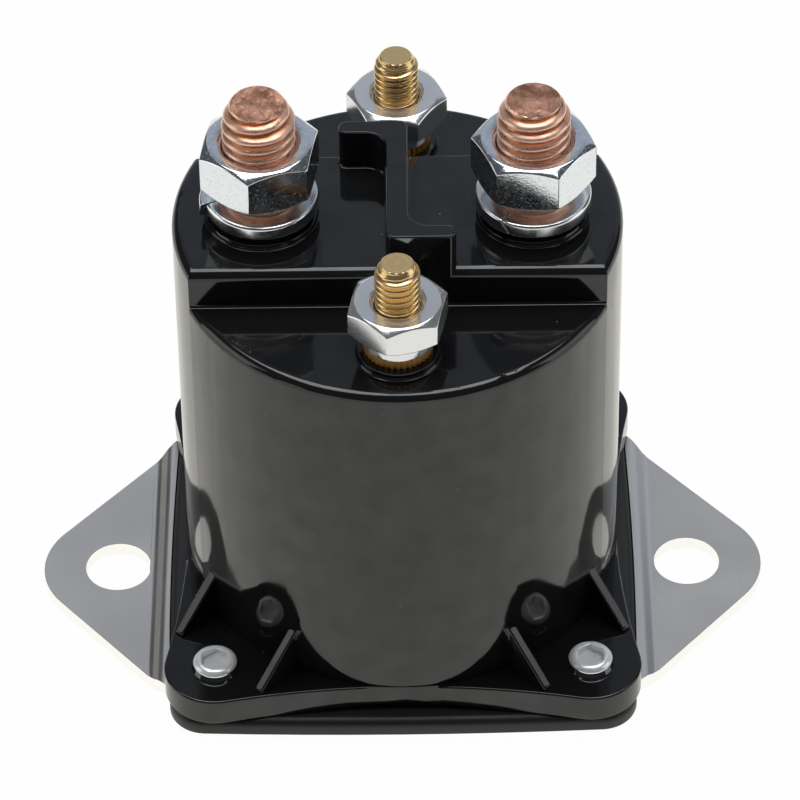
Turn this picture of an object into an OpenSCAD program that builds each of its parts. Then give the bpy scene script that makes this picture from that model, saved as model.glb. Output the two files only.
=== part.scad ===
// Solenoid relay for heavy direct current. A round moulded body carries two copper load studs on a raised
// platform and two brass coil studs on lower shelves. Inside, a coil lifts a plunger whose copper disc
// bridges the heads of the load studs. The front faces -Y and the mounting plane of the ears is z = 0.

/* [Body] */
// Diameter of the moulded body at its rim
body_d = 48.2; // [45:0.1:53]
// Growth of that diameter down to the flange, for mould draft
draft = 0.1; // [0:0.05:0.8]
// Height of the platform above the flange's underside
body_h = 51; // [49:0.5:60]
// Drop from the platform to the two coil stud shelves
step_h = 4.65; // [3.5:0.05:5.5]
// Front to back width of the platform
platform_w = 19.16; // [17:0.1:21]
// Radius round the outer rims of platform and shelves
rim_r = 1; // [0.3:0.1:1.4]
// Radius along the platform's front edge
front_ridge_r = 1.1; // [0.3:0.1:1.6]
// Radius along the platform's back edge
back_ridge_r = 0.3; // [0.2:0.1:1.6]
// Small fillet where the platform's walls meet the shelves
root_r = 0.35; // [0.1:0.05:0.8]
// Thickness of the roof under the shelves
roof = 3.95; // [3:0.05:6]
// Wall round the coil
wall = 2.75; // [1.8:0.05:3.2]
// Wall round the contact chamber above the coil
chamber_wall = 3.9; // [3.3:0.05:4.2]

/* [Flange] */
// Thickness of the flange at the corners
flange_t = 3.4; // [2.5:0.1:5]
// Radius of the corner lobes round the screws
lobe_r = 5.65; // [5.3:0.05:6.5]
// Distance from the body's foot to a screw's axis, along the diagonal
screw_standoff = 5.04; // [4.4:0.02:6]
// Width of flange left beyond the body's foot at the middle of each side
waist_margin = 0.05; // [0.05:0.05:1]
// Height of the shallow relief arch under each side
relief_h = 0.9; // [0.3:0.1:1.5]
// Length of each relief arch along its side
relief_l = 24; // [16:1:28]
// Depth of each relief arch in from the waist
relief_w = 2; // [1:0.1:2.4]
// Thickness of the gussets
rib_t = 1.05; // [0.8:0.05:2]
// Distance of each gusset from the diagonal through its screw
rib_offset = 6.3; // [5.2:0.1:7]
// Height of the gussets on the body's wall
rib_h = 5.8; // [3:0.1:10]
// Flange left beyond the ends of the gussets
rib_margin = 0.55; // [0.2:0.05:1.5]
// Clearance of a base screw in its holes, on the radius
screw_clear = 0.2; // [0.1:0.05:0.5]

/* [Barrier] */
// Height of the barrier above the platform
barrier_h = 4.9; // [3:0.1:8]
// Thickness of the stem that runs front to back
stem_w = 2.3; // [1.5:0.1:4]
// Thickness of the two arms
arm_w = 1.97; // [1.5:0.05:4]
// Reach of each arm from the middle of the stem
arm_reach = 6.2; // [4.5:0.1:7]
// Concave radius between stem and arm
barrier_fillet = 2.3; // [1:0.1:3]
// Radius on the barrier's outer corners
barrier_corner = 0.9; // [0.3:0.05:0.95]

/* [Load terminals] */
// Distance from the body's rim in to the axis of a load stud
load_inset = 9.62; // [9.2:0.01:10]
// Diameter of the copper studs over the thread
load_d = 7.8; // [6:0.1:8]
// Height of the stud ends above the platform
load_out = 15.4; // [13:0.1:20]
// Diameter of the flat on the stud's end
load_tip_d = 5.72; // [4.5:0.05:5.9]
// Length of the taper at the stud's end
load_taper = 2; // [1:0.1:3]
// Diameter of the contact head inside
load_head_d = 10.8; // [9.5:0.1:11]
// Thickness of the contact head
load_head_t = 3; // [2:0.1:4]
// Radius of the moulded boss under the washer
load_boss_r = 5.45; // [4.8:0.05:6]
// Height of that boss above the platform
load_boss_h = 1.7; // [0.8:0.1:3]
// Fillet round the boss's foot
load_boss_fillet = 0.5; // [0.2:0.05:0.9]
// Outer diameter of the lock washers
lock_d = 12.4; // [11:0.1:13]
// Inner diameter of the lock washers
lock_hole = 8.2; // [8.1:0.05:9]
// Thickness of the lock washers
lock_t = 1.55; // [1:0.05:2]
// Radius on the upper outer edge of the lock washers
lock_ease = 0.35; // [0.1:0.05:0.6]
// Break of their lower outer edge
lock_break = 0.1; // [0.05:0.05:0.3]
// Shift of the closed washer to the front, within its play
lock_shift = 0.15; // [0:0.05:0.15]
// Spread of the sprung washer's free end, on the radius
lock_flare = 0.55; // [0:0.05:0.8]
// Rise of the sprung washer's other end
lock_rise = 0.4; // [0:0.05:1.2]
// Slack between lock washer and nut
load_slack = 1.65; // [1.3:0.05:3]
// Width of the big nuts across flats
load_af = 11.6; // [10.5:0.1:13]
// Height of the big nuts
load_nut_h = 5.4; // [4:0.1:7]
// Diameter of the countersink in the big nuts
load_sink_d = 8.9; // [8.3:0.1:9.5]
// Turn of the left and right nuts about their studs
load_turn = [20.4, -7.4];
// Direction of the split in the left and right lock washers
lock_turn = [204, 241];

/* [Coil terminals] */
// Distance from the body's rim in to the axis of a coil stud
coil_inset = 7.06; // [6.8:0.01:7.4]
// Diameter of the brass studs over the thread
coil_d = 4.8; // [4:0.1:5]
// Height of the stud ends above the shelf
coil_out = 12.45; // [11:0.05:16]
// Diameter of the flat on the stud's end
coil_tip_d = 3.44; // [2.4:0.02:3.8]
// Length of the taper at the stud's end
coil_taper = 1.2; // [0.5:0.1:2]
// Diameter of the stud's head inside
coil_head_d = 6; // [5.5:0.1:6.1]
// Thickness of the stud's head
coil_head_t = 2.5; // [1.5:0.1:2.8]
// Radius of the low moulded boss
coil_boss_r = 4.35; // [3.9:0.05:4.6]
// Height of that boss above the shelf
coil_boss_h = 0.85; // [0.6:0.05:2]
// Fillet round the boss's foot
coil_boss_fillet = 0.35; // [0.1:0.05:0.6]
// Diameter of the serrated collar nut
collar_d = 7.3; // [6.5:0.1:8]
// Height of the serrated collar nut
collar_h = 1.1; // [0.8:0.05:2]
// Number of serrations
collar_teeth = 36; // [24:1:48]
// Depth of the serrations
collar_tooth = 0.25; // [0.1:0.05:0.4]
// Diameter of the plain ring under the nut
ring_d = 7.35; // [6.5:0.05:8.5]
// Height of the plain ring
ring_h = 1.9; // [0.8:0.1:2.5]
// Width of the small nuts across flats
coil_af = 9.6; // [8:0.1:10.5]
// Height of the small nuts
coil_nut_h = 3.55; // [2.5:0.05:5]
// Diameter of the countersink in the small nuts
coil_sink_d = 6; // [5.4:0.1:7]
// Turn of the front and back nuts about their studs
coil_turn = [18.2, -5.2];
// Clearance between a stud's thread and what is screwed on it, on the radius
thread_clear = 0.05; // [0.02:0.01:0.1]
// Clearance between a stud and its hole in the roof, on the radius
stud_clear = 0.06; // [0.03:0.01:0.2]

/* [Base] */
// Thickness of the steel mounting plate
plate_t = 1.5; // [1:0.1:2.5]
// Rise from the ears to the middle of the plate
joggle = 1; // [0.5:0.1:2]
// Distance from the pad's side to the top of the joggle
joggle_gap = 0.6; // [0.4:0.05:2]
// Run of the joggle
joggle_run = 1.3; // [1:0.1:3]
// Distance from the pad's side to the axis of an ear hole
ear_reach = 6.02; // [5.6:0.01:9]
// Diameter of the ear holes
ear_hole_d = 7.4; // [5:0.1:8.5]
// Radius of the ear tips
ear_r = 8.43; // [7:0.05:10]
// Slant of the ears' sides from straight outward
ear_slant = 41; // [38:0.5:46]
// Plate left beyond the screw axes, front and back
plate_margin = 3; // [2.2:0.1:4]
// Thickness of the black pad
pad_t = 2.13; // [1.8:0.01:2.4]
// Pad left over the plate
pad_web = 0.5; // [0.4:0.1:1.5]
// Pad left beyond the screw axes
pad_margin = 5.16; // [4.6:0.02:6]
// Bow of the pad's sides, from the corners to the middle
pad_bow = 0.45; // [0.1:0.05:0.8]
// Radius of the pad's corners
pad_corner = 4.1; // [2:0.1:5]
// Clearance of the plate in the pad's recess
pad_clear = 0.2; // [0.1:0.05:0.4]
// Thread diameter of the base screws
screw_d = 3; // [2.5:0.1:3.5]
// Head diameter of the base screws
screw_head_d = 5.3; // [5:0.1:6.5]
// Head height of the base screws
screw_head_h = 1.2; // [1.1:0.1:2]
// Width of the hex socket across flats
socket_af = 3; // [1.5:0.1:3.1]
// Depth of the hex socket
socket_depth = 0.9; // [0.6:0.1:1]

/* [Coil and frame] */
// Wall of the can
can_wall = 1.2; // [0.8:0.1:1.4]
// Floor of the can
can_floor = 1.3; // [0.8:0.1:2]
// Gap between the can and the body
can_clear = 0.3; // [0.1:0.05:0.5]
// Thickness of the pole plate on the can
pole_t = 1.5; // [1:0.1:2]
// Bore of the bobbin
bobbin_bore = 13; // [11:0.1:15]
// Wall of the bobbin's barrel
bobbin_wall = 1.1; // [0.8:0.1:2]
// Thickness of the bobbin's flanges
bobbin_flange = 1.2; // [0.8:0.1:2]
// Gap between the bobbin's flanges and the can
bobbin_gap = 0.35; // [0.2:0.05:0.5]
// Depth of the bobbin's flanges beyond the winding
winding_inset = 2.1; // [1.9:0.1:3]
// Diameter of the two coil leads
lead_d = 0.9; // [0.6:0.1:1.2]
// Distance from the chamber's wall in to the axis of a lead
lead_inset = 2; // [1.6:0.1:2.4]
// Clearance of a lead in the notches that it passes, on the radius
lead_clear = 0.35; // [0.2:0.05:0.5]

/* [Plunger and contacts] */
// Length of the plunger
plunger_l = 15.3; // [13.5:0.1:18]
// Upward travel of the plunger
travel = 2.3; // [1.5:0.1:2.6]
// Gap left at the end of the travel, above plunger and disc
end_gap = 0.1; // [0.05:0.01:0.3]
// Running clearance of the plunger in the bobbin, on the radius
plunger_clear = 0.08; // [0.03:0.01:0.1]
// Diameter of the push rod
rod_d = 4; // [3:0.1:4.5]
// Clearance of the rod through the core, on the radius
rod_clear = 0.35; // [0.3:0.05:0.6]
// Depth that the rod is set in the plunger below the spring
rod_seat = 5; // [3:0.5:8]
// Diameter of the spring pockets
pocket_d = 8.6; // [8:0.1:9.5]
// Depth of the pocket in the plunger
plunger_pocket = 5.5; // [4:0.5:7]
// Depth of the pocket in the core
core_pocket = 3.5; // [2:0.5:5]
// Wire of the return spring
return_wire = 0.8; // [0.6:0.05:1]
// Clearance of the return spring in its pockets, on the radius
return_clear = 0.35; // [0.3:0.05:0.6]
// Turns of the return spring
return_turns = 6; // [4:1:8]
// Thickness of the contact disc
disc_t = 2; // [1.5:0.1:3]
// Reach of the disc beyond the axes of the load studs
disc_reach = 1; // [0.5:0.1:2]
// Diameter of the insulating bush where it passes through the disc
bush_d = 6.4; // [5.5:0.1:8]
// Diameter of the insulating flanges
bush_flange_d = 9.6; // [9:0.1:12]
// Thickness of the insulating flanges
bush_flange_t = 1; // [0.6:0.1:1.2]
// Diameter of the clip on the rod
clip_d = 6.6; // [6:0.1:8]
// Thickness of the clip
clip_t = 0.6; // [0.4:0.1:0.8]
// Length of rod above the clip
rod_over = 0.4; // [0.2:0.1:0.5]
// Gap from the pole plate to the seat of the contact spring, at rest
seat_gap = 0.5; // [0.35:0.05:0.8]
// Thickness of that seat
seat_t = 0.6; // [0.4:0.1:1]
// Length of the contact spring
contact_h = 3.4; // [2.6:0.1:6]
// Wire of the contact spring
contact_wire = 0.7; // [0.5:0.05:0.9]
// Turns of the contact spring
contact_turns = 2.5; // [2:0.5:3]

/* [Hidden] */
$fn = 96;
e = 0.01;

// Levels, from the mounting plane up
plate_top = joggle + plate_t;
pad_top = plate_top + pad_web;
pad_bottom = pad_top - pad_t;
flange_top = pad_top + flange_t;
platform_z = pad_top + body_h;
shelf_z = platform_z - step_h;
ceiling_z = shelf_z - roof;
core_gap = travel + end_gap;
chamber_h = load_head_t + core_gap + disc_t + bush_flange_t + contact_h + seat_t + seat_gap;
pole_top = ceiling_z - chamber_h;
can_top = pole_top - pole_t;
can_floor_z = pad_top + can_floor;
plunger_top = can_floor_z + plunger_l;
core_end = plunger_top + core_gap;

// Plan
body_r = body_d / 2;
foot_r = (body_d + draft) / 2;
bore_r = body_r - wall;
chamber_r = body_r - chamber_wall;
screw_xy = (foot_r + screw_standoff) / sqrt(2);
waist = foot_r + waist_margin;
waist_drop = waist - screw_xy;
waist_r = (screw_xy * screw_xy + waist_drop * waist_drop - lobe_r * lobe_r) / (2 * (lobe_r - waist_drop));
pad_half = screw_xy + pad_margin;
pad_side = pad_half + pad_bow;
ear_x = pad_side + ear_reach;
plate_half = screw_xy + plate_margin;
load_x = body_r - load_inset;
coil_y = body_r - coil_inset;
lead_y = chamber_r - lead_inset;
can_r = bore_r - can_clear;
bobbin_r = can_r - can_wall - bobbin_gap;
barrel_r = bobbin_bore / 2 + bobbin_wall;
winding_r = bobbin_r - winding_inset;

// Load terminal stack
load_seat = platform_z + load_boss_h;
load_nut_z = load_seat + lock_t + load_slack;
load_head_z = ceiling_z - load_head_t;

// Coil terminal stack
coil_seat = shelf_z + coil_boss_h;
ring_z = coil_seat + collar_h;
coil_nut_z = ring_z + ring_h;
coil_head_z = ceiling_z - coil_head_t;

// Moving stack, at rest
plunger_r = bobbin_bore / 2 - plunger_clear;
spring_low = plunger_top - plunger_pocket;
spring_high = core_end + core_pocket;
disc_top = load_head_z - core_gap;
disc_z = disc_top - disc_t;
disc_r = load_x + disc_reach;
bush_z = disc_z - bush_flange_t;
clip_z = disc_top + bush_flange_t;
rod_top = clip_z + clip_t + rod_over;
seat_z = pole_top + seat_gap;
contact_low = seat_z + seat_t;

// Copies a child to the four base screws
module at_screws() {
    for (x = [-1, 1], y = [-1, 1])
        translate([x * screw_xy, y * screw_xy, 0]) children();
}

// Rectangle from one corner to the other with all corners rounded
module rounded(a, b, r) {
    translate([a[0] + r, a[1]]) square([b[0] - a[0] - 2 * r, b[1] - a[1]]);
    translate([a[0], a[1] + r]) square([b[0] - a[0], b[1] - a[1] - 2 * r]);
    for (x = [a[0] + r, b[0] - r], y = [a[1] + r, b[1] - r])
        translate([x, y]) circle(r);
}

// Concave corner piece with its square corner at the origin
module corner_fill(r) {
    difference() {
        translate([-e, -e]) square(r + e);
        translate([r, r]) circle(r);
    }
}

// Drafted round body from the flange up to a rounded rim
module round_body(top) {
    slope = draft / 2 / (platform_z - flange_top);
    r = foot_r - slope * (top - rim_r - flange_top);
    rotate_extrude() {
        polygon([[0, flange_top], [foot_r, flange_top], [r, top - rim_r], [0, top - rim_r]]);
        translate([0, flange_top]) square([r - rim_r, top - flange_top]);
        intersection() {
            translate([r - rim_r, top - rim_r]) circle(rim_r);
            translate([r - rim_r, top - rim_r]) square(rim_r);
        }
    }
}

// Section of the platform from front to back, with rounded top edges
module platform_section() {
    y = platform_w / 2;
    z = platform_z;
    f = front_ridge_r;
    b = back_ridge_r;
    translate([-y, flange_top]) square([y, z - flange_top - f]);
    translate([-e, flange_top]) square([y + e, z - flange_top - b]);
    translate([f - y, z - 2 * f]) square([2 * y - f - b, 2 * f]);
    translate([f - y, z - f]) circle(f);
    translate([y - b, z - b]) circle(b);
    for (s = [-1, 1])
        translate([s * y, shelf_z]) mirror([s < 0 ? 1 : 0, 0]) corner_fill(root_r);
}

// Plan of the barrier: a stem with one arm back left and one arm front right
module barrier_plan() {
    y = platform_w / 2;
    rounded([-stem_w / 2, -y], [stem_w / 2, y], barrier_corner);
    for (s = [0, 180])
        rotate(s) {
            rounded([-stem_w / 2, -y], [arm_reach, -y + arm_w], barrier_corner);
            translate([stem_w / 2, -y + arm_w]) corner_fill(barrier_fillet);
        }
}

// Flange plan: four lobes joined by shallow concave sides
module flange_plan() {
    k = lobe_r / (waist_r + lobe_r);
    a = screw_xy * (1 - k);
    b = screw_xy + (waist + waist_r - screw_xy) * k;
    difference() {
        polygon([[-a, -b], [a, -b], [b, -a], [b, a], [a, b], [-a, b], [-b, a], [-b, -a]]);
        for (t = [0:90:270])
            rotate(t) translate([0, waist + waist_r]) circle(waist_r, $fn = 720);
    }
    for (x = [-1, 1], y = [-1, 1])
        translate([x * screw_xy, y * screw_xy]) circle(lobe_r);
}

// Body of a terminal boss with a filleted foot
module boss(r, h, foot) {
    rotate_extrude() {
        square([r, h]);
        translate([r, 0]) corner_fill(foot);
        translate([0, -e]) square([r + foot, e + e]);
    }
}

// Pair of thin gussets beside one screw, running out along its diagonal
module gussets() {
    inner = sqrt(pow(foot_r - wall / 2, 2) - rib_offset * rib_offset);
    start = sqrt(foot_r * foot_r - rib_offset * rib_offset);
    c = (waist + waist_r) / sqrt(2);
    reach = c - sqrt(waist_r * waist_r - pow(c - rib_offset - rib_t / 2, 2)) - rib_margin;
    rotate(45)
        for (s = [-1, 1])
            translate([0, s * rib_offset + rib_t / 2, flange_top]) rotate([90, 0, 0])
                linear_extrude(rib_t)
                    polygon([[inner, -e], [reach, -e], [reach, 0.05], [start, rib_h], [inner, rib_h]]);
}

// Moulded housing: flange, gussets, body, platform, bosses and barrier, hollow from below
module housing() {
    relief_r = (relief_l * relief_l / 4 + relief_h * relief_h) / (2 * relief_h);
    color("#1b1c1e")
    difference() {
        union() {
            translate([0, 0, pad_top]) linear_extrude(flange_t) flange_plan();
            round_body(shelf_z);
            intersection() {
                round_body(platform_z);
                translate([-body_d, 0, 0]) rotate([90, 0, 90]) linear_extrude(2 * body_d) platform_section();
            }
            for (t = [0:90:270]) rotate(t) gussets();
            for (x = [-load_x, load_x])
                translate([x, 0, platform_z]) boss(load_boss_r, load_boss_h, load_boss_fillet);
            for (y = [-coil_y, coil_y])
                translate([0, y, shelf_z]) boss(coil_boss_r, coil_boss_h, coil_boss_fillet);
            translate([0, 0, platform_z - 2]) linear_extrude(barrier_h + 2) barrier_plan();
        }
        translate([0, 0, pad_top - 1]) cylinder(h = pole_top - pad_top + 1, r = bore_r);
        translate([0, 0, pad_top]) cylinder(h = ceiling_z - pad_top, r = chamber_r);
        for (x = [-load_x, load_x])
            translate([x, 0, ceiling_z - 1])
                cylinder(h = load_seat - ceiling_z + 2, r = load_d / 2 + stud_clear);
        for (y = [-coil_y, coil_y])
            translate([0, y, ceiling_z - 1])
                cylinder(h = coil_seat - ceiling_z + 2, r = coil_d / 2 + stud_clear);
        at_screws() translate([0, 0, pad_top - 1]) cylinder(h = flange_t + 2, r = screw_d / 2 + screw_clear);
        for (t = [0:90:270])
            rotate(t) translate([0, relief_w - waist, pad_top + relief_h - relief_r]) rotate([90, 0, 0])
                cylinder(h = 2 * lobe_r, r = relief_r, $fn = 720);
    }
}

// Plan of the mounting plate, grown by c: a cross-bar with slanted sides and round ears
module plate_plan(c) {
    r = ear_r + c;
    y = plate_half + c;
    x = ear_x - (y * sin(ear_slant) - r) / cos(ear_slant);
    u = ear_x + r * cos(ear_slant);
    v = r * sin(ear_slant);
    for (a = [0, 180])
        rotate(a) {
            polygon([[-e, -y], [x, -y], [u, -v], [ear_x, 0], [u, v], [x, y], [-e, y]]);
            translate([ear_x, 0]) circle(r);
        }
}

// Sheet section of the mounting plate, raised in the middle and joggled down to the ears
module plate_section() {
    a = pad_side + joggle_gap;
    b = a + joggle_run;
    k = plate_t * tan(atan2(joggle, joggle_run) / 2);
    w = ear_x + ear_r + 1;
    polygon([[-w, plate_t], [-b, plate_t], [-a, plate_top], [a, plate_top], [b, plate_t], [w, plate_t],
        [w, 0], [b - k, 0], [a - k, joggle], [k - a, joggle], [k - b, 0], [-w, 0]]);
}

// Steel mounting plate with two ears
module mounting_plate() {
    color("#9a9c9f")
    difference() {
        intersection() {
            translate([0, 0, -1]) linear_extrude(plate_top + 2) plate_plan(0);
            translate([0, plate_half + 1, 0]) rotate([90, 0, 0])
                linear_extrude(2 * plate_half + 2) plate_section();
        }
        for (x = [-ear_x, ear_x])
            translate([x, 0, -1]) cylinder(h = plate_top + 2, r = ear_hole_d / 2);
        at_screws() translate([0, 0, -1]) cylinder(h = plate_top + 2, r = screw_d / 2 + thread_clear);
    }
}

// Plan of the pad: a rounded square whose four sides bow outward
module pad_plan() {
    half = pad_half - pad_corner;
    r = (half * half + pad_bow * pad_bow) / (2 * pad_bow);
    rounded([-pad_half, -pad_half], [pad_half, pad_half], pad_corner);
    for (t = [0:90:270])
        rotate(t)
            intersection() {
                translate([pad_side - r, 0]) circle(r, $fn = 1440);
                translate([pad_half - pad_corner, -half]) square([pad_corner + pad_bow + 1, 2 * half]);
            }
}

// Black pad between flange and plate, with the plate let into its underside
module base_pad() {
    color("#242526")
    difference() {
        translate([0, 0, pad_bottom]) linear_extrude(pad_t) pad_plan();
        translate([0, 0, pad_bottom - 1]) linear_extrude(plate_top - pad_bottom + 1) plate_plan(pad_clear);
        at_screws() translate([0, 0, pad_bottom - 1]) cylinder(h = pad_t + 2, r = screw_d / 2 + screw_clear);
    }
}

// Button head screw with a hex socket, standing on the flange and threaded into the plate
module base_screw(x, y) {
    r = screw_head_d / 2;
    round_r = screw_head_h * 0.7;
    color("#d6d6d2")
    translate([x * screw_xy, y * screw_xy, flange_top])
    difference() {
        union() {
            rotate_extrude() {
                square([r - round_r, screw_head_h]);
                square([r, screw_head_h - round_r]);
                intersection() {
                    translate([r - round_r, screw_head_h - round_r]) circle(round_r);
                    square([r, screw_head_h]);
                }
            }
            translate([0, 0, joggle - flange_top]) cylinder(h = flange_top - joggle + e, r = screw_d / 2);
        }
        translate([0, 0, screw_head_h - socket_depth]) rotate(30)
            cylinder(h = screw_head_h, r = socket_af / sqrt(3), $fn = 6);
    }
}

// Copper load stud with its contact head under the roof
module load_stud(s) {
    color("#b87357")
    translate([s * load_x, 0, 0]) {
        top = platform_z + load_out;
        translate([0, 0, load_head_z]) cylinder(h = load_head_t, r = load_head_d / 2);
        translate([0, 0, ceiling_z - e]) cylinder(h = top - load_taper - ceiling_z + e, r = load_d / 2);
        translate([0, 0, top - load_taper]) cylinder(h = load_taper, r1 = load_d / 2, r2 = load_tip_d / 2);
    }
}

// Hex nut with both faces chamfered and a countersunk hole, standing on z = 0
module hex_nut(af, h, hole_r, sink_r) {
    chamfer = (af / sqrt(3) - af / 2) * tan(30);
    difference() {
        intersection() {
            cylinder(h = h, r = af / sqrt(3), $fn = 6);
            rotate_extrude()
                polygon([[0, 0], [af / 2, 0], [af / sqrt(3) + e, chamfer + e * tan(30)],
                    [af / sqrt(3) + e, h - chamfer - e * tan(30)], [af / 2, h], [0, h]]);
        }
        translate([0, 0, -1]) cylinder(h = h + 2, r = hole_r);
        for (z = [0, h])
            translate([0, 0, z]) mirror([0, 0, z > 0 ? 0 : 1]) translate([0, 0, hole_r - sink_r])
                cylinder(h = sink_r - hole_r + e, r1 = hole_r, r2 = sink_r + e);
    }
}

// Zinc nut on a load stud, left slack above its lock washer
module load_nut(i) {
    color("#c9ccd0")
    translate([(i * 2 - 1) * load_x, 0, load_nut_z]) rotate(load_turn[i])
        hex_nut(load_af, load_nut_h, load_d / 2 + thread_clear, load_sink_d / 2);
}

// Corners of a lock washer's section, with the upper outer edge rounded and the lower one broken
function lock_section() =
    let(a = lock_hole / 2, b = lock_d / 2, c = b - lock_ease, d = lock_t - lock_ease)
    concat(
        [[a, 0], [b - lock_break, 0], [b, lock_break]],
        [for (t = [0:22.5:90]) [c + lock_ease * cos(t), d + lock_ease * sin(t)]],
        [[a, lock_t]]);

// Closed lock washer: the split shows as a fine slanted cut
module lock_washer_closed() {
    color("#c2c5c8")
    translate([load_x, -lock_shift, load_seat]) rotate(lock_turn[1])
    difference() {
        rotate_extrude() polygon(lock_section());
        translate([lock_hole / 4, 0, lock_t / 2]) rotate([35, 0, 0])
            translate([0, -0.06, -lock_t]) cube([lock_d, 0.12, 2 * lock_t]);
    }
}

// Sprung lock washer: an open ring whose one end spreads and whose other end rises
module lock_washer_open() {
    sec = lock_section();
    n = 60;
    m = len(sec);
    span = 354;
    pts = [for (i = [0:n], p = sec)
        let(u = i / n, t = u * span, g = pow(max(0, u * 5 - 4), 2) * lock_flare, r = p[0] + g)
        [r * cos(t), r * sin(t), p[1] + lock_rise * pow(max(0, 1 - u * 4), 2)]];
    sides = [for (i = [0:n - 1], j = [0:m - 1])
        [i * m + j, i * m + (j + 1) % m, (i + 1) * m + (j + 1) % m, (i + 1) * m + j]];
    first = [for (j = [0:m - 1]) m - 1 - j];
    last = [for (j = [0:m - 1]) n * m + j];
    color("#c2c5c8")
    translate([-load_x, 0, load_seat]) rotate(lock_turn[0])
        polyhedron(points = pts, faces = concat(sides, [first, last]), convexity = 4);
}

// Brass coil stud with its head under the roof
module coil_stud(s) {
    color("#b28c46")
    translate([0, s * coil_y, 0]) {
        top = shelf_z + coil_out;
        translate([0, 0, coil_head_z]) cylinder(h = coil_head_t, r = coil_head_d / 2);
        translate([0, 0, ceiling_z - e]) cylinder(h = top - coil_taper - ceiling_z + e, r = coil_d / 2);
        translate([0, 0, top - coil_taper]) cylinder(h = coil_taper, r1 = coil_d / 2, r2 = coil_tip_d / 2);
    }
}

// Serrated brass nut that clamps a coil stud to its boss
module coil_collar(s) {
    n = collar_teeth;
    r = collar_d / 2;
    color("#a5762c")
    translate([0, s * coil_y, coil_seat])
    difference() {
        linear_extrude(collar_h)
            polygon([for (i = [0:2 * n - 1])
                (r - collar_tooth * (i % 2)) * [cos(i * 180 / n), sin(i * 180 / n)]]);
        translate([0, 0, -1]) cylinder(h = collar_h + 2, r = coil_d / 2 + thread_clear);
    }
}

// Plain zinc ring between collar and nut
module coil_ring(s) {
    color("#c9ccd0")
    translate([0, s * coil_y, ring_z])
    difference() {
        cylinder(h = ring_h, r = ring_d / 2);
        translate([0, 0, -1]) cylinder(h = ring_h + 2, r = coil_d / 2 + thread_clear);
    }
}

// Zinc nut on a coil stud
module coil_nut(i) {
    color("#c9ccd0")
    translate([0, (i * 2 - 1) * coil_y, coil_nut_z]) rotate(coil_turn[i])
        hex_nut(coil_af, coil_nut_h, coil_d / 2 + thread_clear, coil_sink_d / 2);
}

// Steel can round the coil, open at the top
module coil_can() {
    color("#7d8083")
    difference() {
        translate([0, 0, pad_top]) cylinder(h = can_top - pad_top, r = can_r);
        translate([0, 0, can_floor_z]) cylinder(h = can_top - pad_top, r = can_r - can_wall);
    }
}

// Pole plate that closes the can, with the fixed core below it
module pole_plate() {
    core_r = bobbin_bore / 2 - can_clear;
    color("#85888b")
    difference() {
        union() {
            translate([0, 0, can_top]) cylinder(h = pole_t, r = can_r);
            translate([0, 0, core_end]) cylinder(h = can_top - core_end + e, r = core_r);
        }
        translate([0, 0, core_end - 1]) cylinder(h = pole_top - core_end + 2, r = rod_d / 2 + rod_clear);
        translate([0, 0, core_end - 1]) cylinder(h = core_pocket + 1, r = pocket_d / 2);
        for (s = [-1, 1])
            translate([0, s * lead_y, can_top - 1]) cylinder(h = pole_t + 2, r = lead_d / 2 + lead_clear);
    }
}

// Bobbin that carries the winding and guides the plunger
module bobbin() {
    color("#d9d2bd")
    difference() {
        translate([0, 0, can_floor_z]) rotate_extrude() {
            translate([bobbin_bore / 2, 0]) square([bobbin_wall, can_top - can_floor_z]);
            translate([bobbin_bore / 2, 0]) square([bobbin_r - bobbin_bore / 2, bobbin_flange]);
            translate([bobbin_bore / 2, can_top - can_floor_z - bobbin_flange])
                square([bobbin_r - bobbin_bore / 2, bobbin_flange]);
        }
        for (s = [-1, 1])
            translate([0, s * lead_y, can_top - bobbin_flange - 1])
                cylinder(h = bobbin_flange + 2, r = lead_d / 2 + lead_clear);
    }
}

// Copper winding on the bobbin
module winding() {
    color("#8a4a28")
    translate([0, 0, can_floor_z + bobbin_flange]) rotate_extrude()
        translate([barrel_r, 0]) square([winding_r - barrel_r, can_top - can_floor_z - 2 * bobbin_flange]);
}

// Lead from the winding up to the head of its coil stud
module coil_lead(s) {
    z = can_top - bobbin_flange - lead_d * 1.5;
    color("#8a4a28")
    union() {
        translate([0, s * lead_y, z]) cylinder(h = coil_head_z - z, r = lead_d / 2);
        translate([0, s * lead_y, z]) sphere(lead_d / 2);
        difference() {
            translate([0, s * lead_y, z]) rotate([s * 90, 0, 0])
                cylinder(h = lead_y - winding_r + lead_d, r = lead_d / 2);
            translate([0, 0, z - lead_d]) cylinder(h = 2 * lead_d, r = winding_r);
        }
    }
}

// Wire spring of round section, standing on z = 0 with its ends cut flat
module wire_spring(r, wire, h, turns) {
    w = wire / 2;
    half = 360 * w * turns / h;
    outline = [for (a = [0:30:330]) let(t = half * cos(a), q = r + w * sin(a)) q * [cos(t), sin(t)]];
    linear_extrude(h, twist = -360 * turns, slices = ceil(turns * 16), $fn = 12) polygon(outline);
}

// Steel plunger that slides in the bobbin
module plunger() {
    color("#8e9194")
    difference() {
        translate([0, 0, can_floor_z]) cylinder(h = plunger_l, r = plunger_r);
        translate([0, 0, spring_low]) cylinder(h = plunger_pocket + 1, r = pocket_d / 2);
        translate([0, 0, spring_low - rod_seat]) cylinder(h = rod_seat + 1, r = rod_d / 2 + thread_clear);
    }
}

// Rod that carries the contact disc
module push_rod() {
    color("#c7c2ae")
    translate([0, 0, spring_low - rod_seat]) cylinder(h = rod_top - spring_low + rod_seat, r = rod_d / 2);
}

// Spring that presses the plunger down
module return_spring() {
    r = pocket_d / 2 - return_clear - return_wire / 2;
    color("#a9acae")
    translate([0, 0, spring_low]) wire_spring(r, return_wire, spring_high - spring_low, return_turns);
}

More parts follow.
